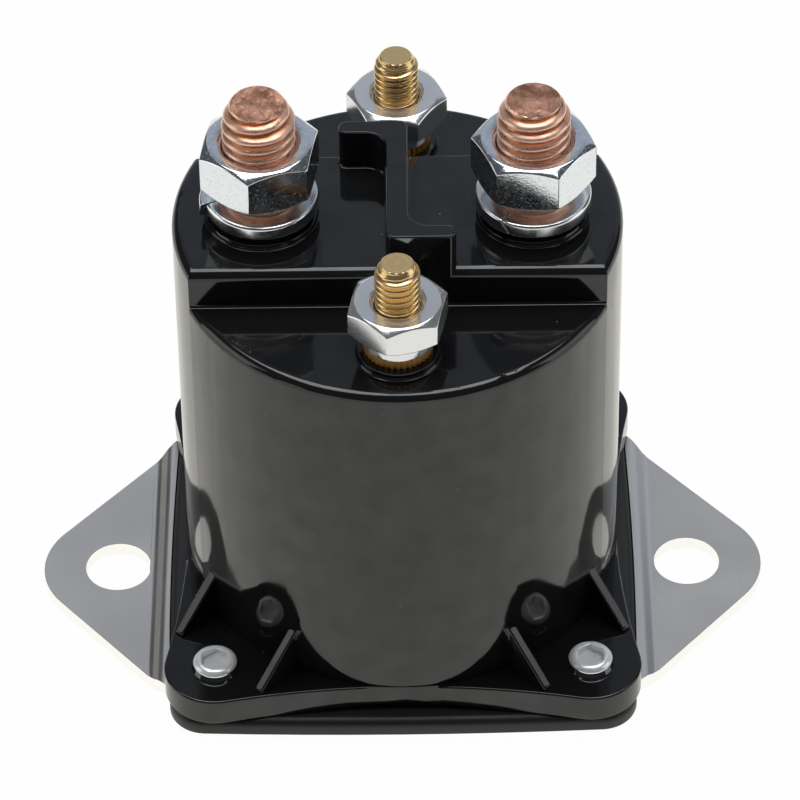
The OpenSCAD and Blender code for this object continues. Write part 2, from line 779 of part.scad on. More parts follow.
// Ring with a central hole, standing on z
module ring(z, h, r, hole_r) {
    translate([0, 0, z])
    difference() {
        cylinder(h = h, r = r);
        translate([0, 0, -1]) cylinder(h = h + 2, r = hole_r);
    }
}

// Steel seat of the contact spring
module spring_seat() {
    color("#a9acae") ring(seat_z, seat_t, bush_flange_d / 2, rod_d / 2 + thread_clear);
}

// Short spring under the contact disc
module contact_spring() {
    color("#a9acae")
    translate([0, 0, contact_low])
        wire_spring(rod_d / 2 + contact_wire + 0.35, contact_wire, contact_h, contact_turns);
}

// Insulating bush: a flange under the disc and a sleeve through it
module contact_bush() {
    color("#b9a06a")
    union() {
        ring(bush_z, bush_flange_t, bush_flange_d / 2, rod_d / 2 + thread_clear);
        ring(bush_z, bush_flange_t + disc_t, bush_d / 2, rod_d / 2 + thread_clear);
    }
}

// Copper disc that bridges the load studs
module contact_disc() {
    color("#b87357") ring(disc_z, disc_t, disc_r, bush_d / 2 + thread_clear);
}

// Insulating washer on top of the disc
module bush_washer() {
    color("#b9a06a") ring(disc_top, bush_flange_t, bush_flange_d / 2, rod_d / 2 + thread_clear);
}

// Clip that holds the stack on the rod
module rod_clip() {
    color("#a9acae") ring(clip_z, clip_t, clip_d / 2, rod_d / 2 + thread_clear);
}

housing();
base_pad();
mounting_plate();
base_screw(-1, -1);  // base_screw_front_left
base_screw(1, -1);  // base_screw_front_right
base_screw(-1, 1);  // base_screw_back_left
base_screw(1, 1);  // base_screw_back_right
load_stud(-1);  // load_stud_left
load_stud(1);  // load_stud_right
load_nut(0);  // load_nut_left
load_nut(1);  // load_nut_right
lock_washer_open();  // lock_washer_left
lock_washer_closed();  // lock_washer_right
coil_stud(-1);  // coil_stud_front
coil_stud(1);  // coil_stud_back
coil_collar(-1);  // coil_collar_front
coil_collar(1);  // coil_collar_back
coil_ring(-1);  // coil_ring_front
coil_ring(1);  // coil_ring_back
coil_nut(0);  // coil_nut_front
coil_nut(1);  // coil_nut_back
coil_can();
pole_plate();
bobbin();
winding();
coil_lead(-1);  // coil_lead_front
coil_lead(1);  // coil_lead_back
plunger();
push_rod();
return_spring();
spring_seat();
contact_spring();
contact_bush();
contact_disc();
bush_washer();
rod_clip();
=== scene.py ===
from math import cos, pi, radians, sin, sqrt, tan
from types import SimpleNamespace

import bpy
import bmesh
from mathutils import Matrix, Vector


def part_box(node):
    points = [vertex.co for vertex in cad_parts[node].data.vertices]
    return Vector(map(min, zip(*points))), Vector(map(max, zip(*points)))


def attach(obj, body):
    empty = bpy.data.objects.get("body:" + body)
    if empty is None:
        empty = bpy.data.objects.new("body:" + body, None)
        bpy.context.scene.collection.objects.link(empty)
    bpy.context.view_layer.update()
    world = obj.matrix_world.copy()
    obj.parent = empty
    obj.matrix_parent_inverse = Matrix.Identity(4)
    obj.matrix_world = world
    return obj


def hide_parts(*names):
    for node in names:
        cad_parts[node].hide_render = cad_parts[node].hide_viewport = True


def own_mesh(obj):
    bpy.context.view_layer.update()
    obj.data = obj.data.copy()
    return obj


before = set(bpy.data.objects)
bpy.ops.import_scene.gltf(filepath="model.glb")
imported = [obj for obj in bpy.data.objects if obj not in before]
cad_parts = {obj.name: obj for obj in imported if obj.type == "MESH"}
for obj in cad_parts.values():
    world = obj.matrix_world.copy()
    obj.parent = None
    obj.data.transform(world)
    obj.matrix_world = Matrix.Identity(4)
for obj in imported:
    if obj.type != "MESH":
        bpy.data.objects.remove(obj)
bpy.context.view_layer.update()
mm = 0.001


# Mounting plate: plated sheet steel, blanked with two round ears and joggled up under the body.
# Its blanked edges are bright and lightly rounded, and the rolling of the sheet shows as fine streaks.

plate_edge = 0.18 * mm
plate_bend = 0.5 * mm
plate_grey = (0.94, 0.90, 0.84, 1)
weld_gap = 0.002 * mm


def select_only(piece):
    """Makes a piece the only one selected, and the active one."""
    bpy.ops.object.select_all(action='DESELECT')
    piece.select_set(True)
    bpy.context.view_layer.objects.active = piece


def apply_to(piece, modifier):
    """Works a modifier into a piece's mesh."""
    bpy.context.view_layer.objects.active = piece
    bpy.ops.object.modifier_apply(modifier=modifier.name)


def solid_copy(node, name):
    """A welded copy of a solid from the source, standing for it, with its flat faces made whole."""
    piece = bpy.data.objects.new(name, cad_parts[node].data.copy())
    bpy.context.scene.collection.objects.link(piece)
    piece.data.materials.clear()
    select_only(piece)
    bpy.ops.object.mode_set(mode='EDIT')
    bpy.ops.mesh.select_all(action='SELECT')
    bpy.ops.mesh.remove_doubles(threshold=weld_gap)
    bpy.ops.mesh.dissolve_limited(angle_limit=radians(0.4))
    bpy.ops.object.mode_set(mode='OBJECT')
    if piece.data.has_custom_normals:
        bpy.ops.mesh.customdata_custom_splitnormals_clear()
    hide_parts(node)
    return piece


def soften(piece, sharpest=30):
    """Smooth shading that leaves flat faces flat."""
    select_only(piece)
    bpy.ops.object.shade_smooth_by_angle(angle=radians(sharpest))
    flats = piece.modifiers.new("flat flats", 'WEIGHTED_NORMAL')
    flats.keep_sharp = True
    flats.weight = 80
    apply_to(piece, flats)


def ease_edges(piece, width, sharpest=30):
    """Rounds every edge that turns more than the given angle, and keeps the flats flat."""
    bevel = piece.modifiers.new("eased edges", 'BEVEL')
    bevel.width = width
    bevel.segments = 2
    bevel.limit_method = 'ANGLE'
    bevel.angle_limit = radians(sharpest)
    bevel.use_clamp_overlap = True
    bevel.miter_outer = 'MITER_ARC'
    apply_to(piece, bevel)
    soften(piece, sharpest)


def round_where(piece, radius, rows, wanted):
    """Rounds the edges that wanted picks by the normals of their two faces and by their middle."""
    select_only(piece)
    bpy.ops.object.mode_set(mode='EDIT')
    bpy.ops.mesh.select_mode(type='EDGE')
    bpy.ops.mesh.select_all(action='DESELECT')
    mesh = bmesh.from_edit_mesh(piece.data)
    mesh.normal_update()
    for edge in mesh.edges:
        if len(edge.link_faces) == 2:
            first, second = (face.normal for face in edge.link_faces)
            edge.select = wanted(edge, first, second, (edge.verts[0].co + edge.verts[1].co) / 2)
    bmesh.update_edit_mesh(piece.data)
    bpy.ops.mesh.bevel(offset=radius, segments=rows, affect='EDGES', clamp_overlap=False)
    bpy.ops.mesh.select_mode(type='VERT')
    bpy.ops.object.mode_set(mode='OBJECT')


def joggle_bend(edge, a, b, middle):
    """Picks the bends of the joggles, which run from front to back and turn by 26 to 45 degrees."""
    return abs(a.y) < 0.01 and abs(b.y) < 0.01 and 0.7 < a.dot(b) < 0.9


def new_finish(name, colour, metallic, roughness):
    """A principled material, with its nodes, its surface's values and the piece's own coordinates."""
    material = bpy.data.materials.new(name)
    material.use_nodes = True
    nodes = material.node_tree.nodes
    surface = nodes["Principled BSDF"].inputs
    surface["Base Color"].default_value = colour
    surface["Metallic"].default_value = metallic
    surface["Roughness"].default_value = roughness
    place = nodes.new("ShaderNodeTexCoord").outputs["Object"]
    return SimpleNamespace(material=material, nodes=nodes, links=material.node_tree.links, surface=surface,
                           place=place)


def set_by(finish, value, pattern):
    """Lets a pattern set one of the surface's values."""
    finish.links.new(pattern, finish.surface[value])


def noise_on(finish, scale, detail=4, stretch=(1, 1, 1)):
    """A noise pattern on the piece, drawn out along an axis where stretch is small."""
    mapping = finish.nodes.new("ShaderNodeMapping")
    mapping.inputs["Scale"].default_value = stretch
    noise = finish.nodes.new("ShaderNodeTexNoise")
    noise.inputs["Scale"].default_value = scale
    noise.inputs["Detail"].default_value = detail
    finish.links.new(finish.place, mapping.inputs["Vector"])
    finish.links.new(mapping.outputs["Vector"], noise.inputs["Vector"])
    return noise.outputs["Fac"]


def remap(finish, pattern, to_low, to_high, low=0.3, high=0.7):
    """Turns one span of a pattern's values into another. Most noise lies between 0.3 and 0.7."""
    span = finish.nodes.new("ShaderNodeMapRange")
    span.inputs["From Min"].default_value = low
    span.inputs["From Max"].default_value = high
    span.inputs["To Min"].default_value = to_low
    span.inputs["To Max"].default_value = to_high
    finish.links.new(pattern, span.inputs["Value"])
    return span.outputs["Result"]


def bump_from(finish, height, depth, strength=1.0, under=None):
    """A bump of the given depth, laid over another where one is given."""
    bump = finish.nodes.new("ShaderNodeBump")
    bump.inputs["Strength"].default_value = strength
    bump.inputs["Distance"].default_value = depth
    finish.links.new(height, bump.inputs["Height"])
    if under:
        finish.links.new(under, bump.inputs["Normal"])
    return bump.outputs["Normal"]


plate = solid_copy("mounting_plate", "plate_with_ears")
round_where(plate, plate_bend, 5, joggle_bend)
ease_edges(plate, plate_edge)
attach(plate, "relay")

plated = new_finish("plated sheet", plate_grey, 1.0, 0.34)
streaks = noise_on(plated, 900, 5, stretch=(1, 0.06, 1))
clouds = noise_on(plated, 90, 3)
set_by(plated, "Roughness", remap(plated, clouds, 0.18, 0.25))
set_by(plated, "Normal", bump_from(plated, streaks, 0.006 * mm, 0.6))
cut_edge = new_finish("cut edge", (1, 1, 1, 1), 1.0, 0.12)

plate.data.materials.append(plated.material)
plate.data.materials.append(cut_edge.material)
for face in plate.data.polygons:
    if abs(face.normal.z) < 0.25:
        face.material_index = 1


# Base pad: a black moulded pad between flange and plate, let over the plate so that nothing rocks.
# It is a little duller than the housing, and its outline follows the square of the flange.

pad_top = 3.0 * mm
pad_brim = 1.0 * mm
pad_foot = 0.25 * mm
pad_colour = (0.011, 0.011, 0.011, 1)
outer_wall = 23.5 * mm


def nearest(edge):
    """Distance of an edge's nearer end from the middle axis."""
    return min(end.co.xy.length for end in edge.verts)


def brim(height, clear_of=0):
    """Picks the outer edges of a level face, from a given distance off the middle axis."""
    def wanted(edge, a, b, middle):
        level, wall = (a, b) if a.z > b.z else (b, a)
        there = abs(middle.z - height) < 0.05 * mm and nearest(edge) > clear_of
        return level.z > 0.99 and abs(wall.z) < 0.05 and edge.is_convex and there
    return wanted


def foot_edge(clear_of):
    """Picks the lower edges of the outer walls, from a given distance off the middle axis."""
    def wanted(edge, a, b, middle):
        wall, under = (a, b) if a.z > b.z else (b, a)
        outside = max(abs(middle.x), abs(middle.y)) > outer_wall and nearest(edge) > clear_of
        return under.z < -0.9 and abs(wall.z) < 0.05 and edge.is_convex and outside
    return wanted


pad = solid_copy("base_pad", "moulded_base_pad")
round_where(pad, pad_brim, 6, brim(pad_top))
round_where(pad, pad_foot, 3, foot_edge(0))
soften(pad)
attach(pad, "relay")

pad_black = new_finish("black pad", pad_colour, 0.0, 0.46)
pad_black.surface["IOR"].default_value = 1.5
set_by(pad_black, "Normal", bump_from(pad_black, noise_on(pad_black, 1400, 3), 0.01 * mm, 0.5))
pad.data.materials.append(pad_black.material)


# Housing: one black thermoset moulding with a polished skin, from flange to barrier. The tool leaves
# small radii on the edges of flange, gussets, bosses and barrier. The skin is faintly cloudy, and fine
# dust lies on it.

flange_top = 6.4 * mm
gusset_top = 12.5 * mm
coil_boss_top = 50.2 * mm
platform_top = 54 * mm
load_boss_top = 55.7 * mm
barrier_top = 58.9 * mm
gusset_end = flange_top + 0.05 * mm
gusset_lift = 0.4 * mm
# From here outwards the flange's lobes are clear of the hollows between them.
lobe_reach = 24.4 * mm
lobe_foot_reach = 26.5 * mm
moulding_colour = (0.0085, 0.0088, 0.0094, 1)
dust_colour = (0.30, 0.30, 0.29, 1)
dust_scale = 650
dust_share = 0.55


def rib_edge(edge, a, b, middle):
    """Picks the sloping edges of the gussets."""
    slope, side = (a, b) if a.z > b.z else (b, a)
    there = flange_top + 0.1 * mm < middle.z < gusset_top
    return 0.3 < slope.z < 0.97 and abs(side.z) < 0.02 and edge.is_convex and there


def barrier_root(edge, a, b, middle):
    """Picks the edges where the barrier stands on the platform."""
    level, wall = (a, b) if a.z > b.z else (b, a)
    there = abs(middle.z - platform_top) < 0.02 * mm
    return level.z > 0.99 and abs(wall.z) < 0.02 and not edge.is_convex and there


def two_tone(finish, share, first, second):
    """Mixes two colours by a share from 0 to 1."""
    mix = finish.nodes.new("ShaderNodeMix")
    mix.data_type = 'RGBA'
    mix.inputs["A"].default_value = first
    mix.inputs["B"].default_value = second
    finish.links.new(share, mix.inputs["Factor"])
    return mix.outputs["Result"]


def calculate(finish, operation, *values):
    """Works out one value from others, each of them a number or a pattern."""
    step = finish.nodes.new("ShaderNodeMath")
    step.operation = operation
    for socket, value in zip(step.inputs, values):
        if isinstance(value, (int, float)):
            socket.default_value = value
        else:
            finish.links.new(value, socket)
    return step.outputs["Value"]


housing = solid_copy("housing", "moulded_housing")
# The low ends of the gussets are lifted, so that their rounded edges stay clear of the flange's rim.
for corner in housing.data.vertices:
    if abs(corner.co.z - gusset_end) < 0.01 * mm:
        corner.co.z += gusset_lift
for radius, rows, wanted in (
        (0.25 * mm, 4, brim(flange_top, lobe_reach)),
        (0.28 * mm, 3, foot_edge(lobe_foot_reach)),
        (0.20 * mm, 3, brim(barrier_top)),
        (0.25 * mm, 3, barrier_root),
        (0.15 * mm, 2, brim(load_boss_top)),
        (0.15 * mm, 2, brim(coil_boss_top)),
        (0.22 * mm, 3, rib_edge)):
    round_where(housing, radius, rows, wanted)
soften(housing)
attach(housing, "relay")

moulding = new_finish("black moulding", moulding_colour, 0.0, 0.07)
moulding.surface["IOR"].default_value = 1.52
set_by(moulding, "Roughness", remap(moulding, noise_on(moulding, 220, 2), 0.05, 0.10))
set_by(moulding, "Specular IOR Level", remap(moulding, noise_on(moulding, 300, 6), 0.47, 0.60))
set_by(moulding, "Normal", bump_from(moulding, noise_on(moulding, 70, 1), 0.03 * mm, 0.5))
dust = moulding.nodes.new("ShaderNodeTexVoronoi")
dust.inputs["Scale"].default_value = dust_scale
moulding.links.new(moulding.place, dust.inputs["Vector"])
lot = moulding.nodes.new("ShaderNodeSeparateColor")
moulding.links.new(dust.outputs["Color"], lot.inputs["Color"])
speck = remap(moulding, dust.outputs["Distance"], 1, 0, low=0.05, high=0.07)
few = remap(moulding, lot.outputs["Red"], 0, dust_share, low=0.84, high=0.88)
dusty = calculate(moulding, 'MULTIPLY', speck, few)
set_by(moulding, "Base Color", two_tone(moulding, dusty, moulding_colour, dust_colour))
housing.data.materials.append(moulding.material)


# Base screws: four zinc plated button head screws with hex sockets, through flange and pad into the plate.
# Their crowns get a chalky near-white zinc as a painted highlight, and the steep sides of head and socket
# a darker polished copy of it as painted shade. The heads are turned down a little.

head_trim = 0.06
screw_edge = 0.06 * mm

# Crown zinc: near-white and partly diffuse, a painted highlight. Side zinc: a darker polished copy,
# painted shade.
lit_crown_zinc = new_finish("zinc, crown painted light", (0.98, 0.98, 0.98, 1), 0.35, 0.24)
set_by(lit_crown_zinc, "Normal", bump_from(lit_crown_zinc, noise_on(lit_crown_zinc, 2200), 0.01 * mm, 0.5))
shaded_side_zinc = new_finish("zinc, sides painted shade", (0.82, 0.84, 0.86, 1), 1.0, 0.08)

for corner in ("front_left", "front_right", "back_left", "back_right"):
    screw = solid_copy("base_screw_" + corner, "button_screw_" + corner)
    low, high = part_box("base_screw_" + corner)
    for point in screw.data.vertices:
        if point.co.z > flange_top + 0.001 * mm:
            point.co.x += ((low[0] + high[0]) / 2 - point.co.x) * head_trim
            point.co.y += ((low[1] + high[1]) / 2 - point.co.y) * head_trim
    ease_edges(screw, screw_edge, sharpest=35)
    screw.data.materials.append(lit_crown_zinc.material)
    screw.data.materials.append(shaded_side_zinc.material)
    # Faces steeper than about 63 degrees get the darker copy: painted shade, split by face angle.
    for face in screw.data.polygons:
        if face.normal.z < 0.45:
            face.material_index = 1
    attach(screw, "relay")


# Load studs: turned copper with a contact head inside and a rolled thread outside. The crests are round.
# Their colour is painted lighter as a highlight, the roots' darker and more orange as painted shade, and
# the sawn end is rough and brown.

load_stud = SimpleNamespace(
    axis=14.48 * mm, crest_r=3.9 * mm, depth=0.66 * mm, pitch=1.27 * mm, low=55.2 * mm, top=69.4 * mm,
    taper=2.0 * mm, tip_r=2.92 * mm, run_out=0.4 * mm, head_low=42.4 * mm, head_r=5.4 * mm, head_t=3 * mm)
thread_rows = 14
thread_steps = 72
crest_roundness = 1.3
sawn_lip = 0.12 * mm
sawn_zone = 0.7 * mm
shaded_root_copper = (0.76, 0.34, 0.17, 1)
highlit_crest_copper = (0.98, 0.62, 0.47, 1)
stained_copper = (0.27, 0.13, 0.08, 1)
sawn_copper = (0.66, 0.37, 0.27, 1)


def draw_profile(name, points):
    """Half section of a turned piece: a chain of points (r, z) drawn with extrude in the XZ plane."""
    bpy.ops.object.select_all(action='DESELECT')
    bpy.ops.mesh.primitive_plane_add(size=1 * mm, location=(0, 0, 0))
    profile = bpy.context.object
    profile.name = name
    bpy.ops.object.mode_set(mode='EDIT')
    bpy.ops.mesh.select_all(action='SELECT')
    bpy.ops.mesh.merge(type='CENTER')
    bpy.ops.transform.translate(value=(points[0][0], 0, points[0][1]))
    for (r0, z0), (r1, z1) in zip(points, points[1:]):
        bpy.ops.mesh.extrude_vertices_move(TRANSFORM_OT_translate={"value": (r1 - r0, 0, z1 - z0)})
    bpy.ops.object.mode_set(mode='OBJECT')
    return profile


def turn_round(piece, pitch=0, turns=1, steps=96):
    """Spins the half section about Z, climbing by the pitch each turn, and closes the seams."""
    spin = piece.modifiers.new("lathe", 'SCREW')
    spin.axis = 'Z'
    spin.screw_offset = pitch
    spin.iterations = turns
    spin.steps = steps
    spin.render_steps = steps
    spin.use_merge_vertices = True
    spin.merge_threshold = weld_gap
    apply_to(piece, spin)
    bpy.ops.object.mode_set(mode='EDIT')
    bpy.ops.mesh.select_all(action='SELECT')
    bpy.ops.mesh.remove_doubles(threshold=weld_gap)
    bpy.ops.mesh.normals_make_consistent(inside=False)
    bpy.ops.object.mode_set(mode='OBJECT')
    return piece


def threaded_end(name, sizes, turn, slant):
    """A thread from low to top: a helical sweep of one tooth, drawn in towards the tip and sawn off.

    The groove runs out just under the sawn end, which drops by slant towards the front.
    """
    tooth = []
    for row in range(thread_rows + 1):
        t = row / thread_rows
        sink = (1 - cos(pi * abs(2 * t - 1) ** crest_roundness)) / 2
        tooth.append((sizes.crest_r - sizes.depth * sink, sizes.low - 1.5 * sizes.pitch + t * sizes.pitch))
    turns = int((sizes.top - sizes.low) / sizes.pitch) + 3
    thread = turn_round(draw_profile(name, tooth), sizes.pitch, turns, thread_steps)
    thread.data.transform(Matrix.Rotation(radians(turn), 4, 'Z'))
    for corner in thread.data.vertices:
        x, y, z = corner.co
        reach = sqrt(x * x + y * y)
        below = sizes.top - slant * (sizes.tip_r - y) / (2 * sizes.tip_r) - z
        cone = sizes.crest_r - (sizes.crest_r - sizes.tip_r) * min(1, max(0, 1 - below / sizes.taper))
        rounding = sawn_lip * min(1, max(0, 1 - below / sawn_lip)) ** 2
        groove = (sizes.crest_r - reach) * min(1, max(0, below / sizes.run_out))
        corner.co.x *= (cone - groove - rounding) / reach
        corner.co.y *= (cone - groove - rounding) / reach
    foot = ((0, 0, sizes.low), (0, 0, -1))
    sawn_end = ((0, sizes.tip_r, sizes.top), (0, -slant / (2 * sizes.tip_r), 1))
    bpy.ops.object.mode_set(mode='EDIT')
    for point, normal in (foot, sawn_end):
        bpy.ops.mesh.select_all(action='SELECT')
        bpy.ops.mesh.bisect(plane_co=point, plane_no=normal, use_fill=True, clear_outer=True,
                            threshold=0.0001 * mm)
    bpy.ops.mesh.select_all(action='SELECT')
    bpy.ops.mesh.normals_make_consistent(inside=False)
    bpy.ops.object.mode_set(mode='OBJECT')
    return thread


def turned_stud(node, name, sizes, turn, slant=0):
    """A thread joined to its shank and head, on its CAD stud's axis and standing for it."""
    stud = threaded_end(name, sizes, turn, slant)
    ease = 0.3 * mm
    head_top = sizes.head_low + sizes.head_t
    shank = turn_round(draw_profile(name + " shank", [
        (0, sizes.head_low), (sizes.head_r - ease, sizes.head_low), (sizes.head_r, sizes.head_low + ease),
        (sizes.head_r, head_top - ease), (sizes.head_r - ease, head_top), (sizes.crest_r, head_top),
        (sizes.crest_r, sizes.low), (0, sizes.low)]))
    select_only(shank)
    stud.select_set(True)
    bpy.context.view_layer.objects.active = stud
    bpy.ops.object.join()
    low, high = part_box(node)
    stud.data.transform(Matrix.Translation(((low[0] + high[0]) / 2, (low[1] + high[1]) / 2, 0)))
    stud.name = name
    stud.data.name = name
    soften(stud, 38)
    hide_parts(node)
    return stud


def axis_reach(finish, x, y):
    """Distance from the nearest of the upright axes that stand at plus and minus x and y."""
    parts = finish.nodes.new("ShaderNodeSeparateXYZ")
    finish.links.new(finish.place, parts.inputs["Vector"])
    flat = finish.nodes.new("ShaderNodeCombineXYZ")
    for axis, offset in (("X", x), ("Y", y)):
        away = calculate(finish, 'SUBTRACT', calculate(finish, 'ABSOLUTE', parts.outputs[axis]), offset)
        finish.links.new(away, flat.inputs[axis])
    reach = finish.nodes.new("ShaderNodeVectorMath")
    reach.operation = 'LENGTH'
    finish.links.new(flat.outputs["Vector"], reach.inputs[0])
    return reach.outputs["Value"]


copper = new_finish("rolled copper", highlit_crest_copper, 0.70, 0.30)
rub = noise_on(copper, 1200)
rolled = noise_on(copper, 3600, 3, stretch=(0.08, 0.08, 1))
dented = bump_from(copper, rub, 0.03 * mm, 0.8)
set_by(copper, "Roughness", remap(copper, rub, 0.24, 0.38))
set_by(copper, "Normal", bump_from(copper, rolled, 0.03 * mm, 0.9, dented))
parts = copper.nodes.new("ShaderNodeSeparateXYZ")
copper.links.new(copper.place, parts.inputs["Vector"])
# What the taper takes off is added again, so that the painted highlight on the crests and the painted
# shade in the roots hold up to the sawn end.
narrowing = remap(copper, parts.outputs["Z"], 0, load_stud.crest_r - load_stud.tip_r,
                  low=load_stud.top - load_stud.taper, high=load_stud.top)
untapered = calculate(copper, 'ADD', axis_reach(copper, load_stud.axis, 0), narrowing)
# The crests get a lighter colour as a painted highlight, and the roots a darker, more orange one as
# painted shade.
crest_highlight_share = remap(copper, untapered, 0, 1, low=load_stud.crest_r - 0.9 * load_stud.depth,
             high=load_stud.crest_r - 0.35 * load_stud.depth)
set_by(copper, "Base Color", two_tone(copper, crest_highlight_share, shaded_root_copper, highlit_crest_copper))

sawn = new_finish("sawn copper end", sawn_copper, 1.0, 0.42)
saw_marks = noise_on(sawn, 1000, 7, stretch=(1, 0.45, 1))
stain = remap(sawn, noise_on(sawn, 420, 5), 0, 1, low=0.38, high=0.66)
set_by(sawn, "Roughness", remap(sawn, saw_marks, 0.30, 0.55))
set_by(sawn, "Normal", bump_from(sawn, saw_marks, 0.30 * mm))
set_by(sawn, "Base Color", two_tone(sawn, stain, stained_copper, sawn_copper))

for side, turn, slant in (("left", 222, 0.35 * mm), ("right", 208, 0.1 * mm)):
    stud = turned_stud("load_stud_" + side, "copper_stud_" + side, load_stud, turn, slant)
    stud.data.materials.append(copper.material)
    stud.data.materials.append(sawn.material)
    for face in stud.data.polygons:
        if face.normal.z > 0.9 and face.center.z > load_stud.top - sawn_zone:
            face.material_index = 1
    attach(stud, "relay")


# Lock washers: split rings of zinc plated spring wire under the load nuts. The left one has sprung open,
# the right one is pressed level.

washer_edge = 0.05 * mm


def rings_about(finish, x, y, scale, detail=3):
    """Fine rings about the upright axes at plus and minus x and y, as turning and grinding leave them."""
    rings = finish.nodes.new("ShaderNodeTexNoise")
    rings.noise_dimensions = '1D'
    rings.inputs["Scale"].default_value = scale
    rings.inputs["Detail"].default_value = detail
    finish.links.new(axis_reach(finish, x, y), rings.inputs["W"])
    return rings.outputs["Fac"]


spring_zinc = new_finish("brushed zinc", (0.84, 0.87, 0.90, 1), 1.0, 0.24)
brushed = rings_about(spring_zinc, load_stud.axis, 0, 9000)
set_by(spring_zinc, "Roughness", remap(spring_zinc, brushed, 0.16, 0.30))
set_by(spring_zinc, "Normal", bump_from(spring_zinc, brushed, 0.01 * mm, 0.5))

for side in ("left", "right"):
    washer = solid_copy("lock_washer_" + side, "split_washer_" + side)
    ease_edges(washer, washer_edge, sharpest=40)
    washer.data.materials.append(spring_zinc.material)
    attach(washer, "relay")


# Load nuts: zinc plated hex nuts, chamfered on both faces, with a countersink at each end of the thread.
# They are backed off a little, so that a cable lug can be slipped under them.

load_face_r = 5.5 * mm
load_corner_r = 6.8 * mm
load_nut_edge = 0.12 * mm

zinc = new_finish("bright zinc", (0.80, 0.84, 0.89, 1), 0.94, 0.14)
mottle = noise_on(zinc, 900, 5)
marks = noise_on(zinc, 3600, 5)
dents = bump_from(zinc, mottle, 0.005 * mm, 0.6)
set_by(zinc, "Roughness", remap(zinc, mottle, 0.07, 0.12))
set_by(zinc, "Metallic", remap(zinc, marks, 0.98, 0.70, low=0.52, high=0.70))
set_by(zinc, "Normal", bump_from(zinc, marks, 0.006 * mm, 1.0, dents))


def sharp_edge(edge, a, b, middle):
    """Picks every convex edge that turns more than 17 degrees."""
    return edge.is_convex and a.dot(b) < 0.956


def chamfer_nut(node, name, face_r, corner_r, edge_r):
    """A copy of a hex nut with both faces cut back to a round washer face, and with rounded edges."""
    nut = solid_copy(node, name)
    low, high = (Vector(corner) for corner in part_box(node))
    rise = (corner_r - face_r) * tan(radians(30))
    blank = turn_round(draw_profile(name + " blank", [
        (0, low.z), (face_r, low.z), (corner_r, low.z + rise), (corner_r, high.z - rise), (face_r, high.z),
        (0, high.z)]))
    blank.data.transform(Matrix.Translation(((low.x + high.x) / 2, (low.y + high.y) / 2, 0)))
    cut = nut.modifiers.new("chamfers", 'BOOLEAN')
    cut.operation = 'INTERSECT'
    cut.solver = 'EXACT'
    cut.object = blank
    apply_to(nut, cut)
    bpy.data.objects.remove(blank)
    round_where(nut, edge_r, 3, sharp_edge)
    soften(nut)
    return nut


for side in ("left", "right"):
    nut = chamfer_nut("load_nut_" + side, "hex_nut_" + side, load_face_r, load_corner_r, load_nut_edge)
    nut.data.materials.append(zinc.material)
    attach(nut, "relay")


# Coil studs: turned brass with a fine machine thread that runs out below the faced end. Each is held to
# its boss by a serrated brass nut, which has tarnished.

coil_stud = SimpleNamespace(
    axis=17.04 * mm, crest_r=2.4 * mm, depth=0.48 * mm, pitch=0.79 * mm, low=49.6 * mm, top=61.8 * mm,
    taper=1.2 * mm, tip_r=1.72 * mm, run_out=1.2 * mm, head_low=42.9 * mm, head_r=3 * mm, head_t=2.5 * mm)

brass = new_finish("turned brass", (0.85, 0.61, 0.30, 1), 0.86, 0.22)
turning = rings_about(brass, 0, coil_stud.axis, 6000)
set_by(brass, "Roughness", remap(brass, turning, 0.16, 0.30))
set_by(brass, "Normal", bump_from(brass, turning, 0.012 * mm, 0.6))

collar_brass = new_finish("dark brass", (0.80, 0.45, 0.14, 1), 0.75, 0.45)
set_by(collar_brass, "Roughness", remap(collar_brass, noise_on(collar_brass, 1200), 0.38, 0.54))

for side, turn in (("front", 0), ("back", 70)):
    stud = turned_stud("coil_stud_" + side, "brass_stud_" + side, coil_stud, turn)
    stud.data.materials.append(brass.material)
    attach(stud, "relay")
    collar = solid_copy("coil_collar_" + side, "serrated_nut_" + side)
    soften(collar, 20)
    collar.data.materials.append(collar_brass.material)
    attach(collar, "relay")


# Coil nuts and rings: small hex nuts over turned spacer rings, both zinc plated. The nut clamps the
# control wire's lug against the ring, which narrows towards its top.

coil_face_r = 4.5 * mm
coil_corner_r = 5.7 * mm
coil_nut_edge = 0.1 * mm
ring_bore_r = 2.45 * mm
ring_r = 3.67 * mm
ring_crown_r = 3.2 * mm
ring_low = 51.3 * mm
ring_top = 53.2 * mm
ring_band = 0.2 * mm
ring_ease = 0.07 * mm

dull_zinc = new_finish("dull zinc", (0.84, 0.86, 0.88, 1), 0.86, 0.16)
grain = noise_on(dull_zinc, 3000)
facing = rings_about(dull_zinc, 0, coil_stud.axis, 3500, 2)
faced = bump_from(dull_zinc, facing, 0.004 * mm, 0.4)
set_by(dull_zinc, "Roughness", remap(dull_zinc, grain, 0.12, 0.20))
set_by(dull_zinc, "Normal", bump_from(dull_zinc, grain, 0.003 * mm, 0.5, faced))

for side, sign in (("front", -1), ("back", 1)):
    nut = chamfer_nut("coil_nut_" + side, "small_nut_" + side, coil_face_r, coil_corner_r, coil_nut_edge)
    ring = turn_round(draw_profile("spacer_ring_" + side, [
        (ring_bore_r, ring_low), (ring_r - ring_ease, ring_low), (ring_r, ring_low + ring_ease),
        (ring_r, ring_low + ring_band), (ring_crown_r, ring_top), (ring_bore_r, ring_top),
        (ring_bore_r, ring_low)]))
    ring.data.transform(Matrix.Translation((0, sign * coil_stud.axis, 0)))
    soften(ring)
    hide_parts("coil_ring_" + side)
    for piece in (nut, ring):
        piece.data.materials.append(dull_zinc.material)
        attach(piece, "relay")


# Coil, plunger and contacts: a drawn steel can and a pole plate close the magnetic path round a moulded
# bobbin, wound with enamelled copper. The plunger lifts a copper disc on a sprung bush. None of it shows
# with the relay closed.


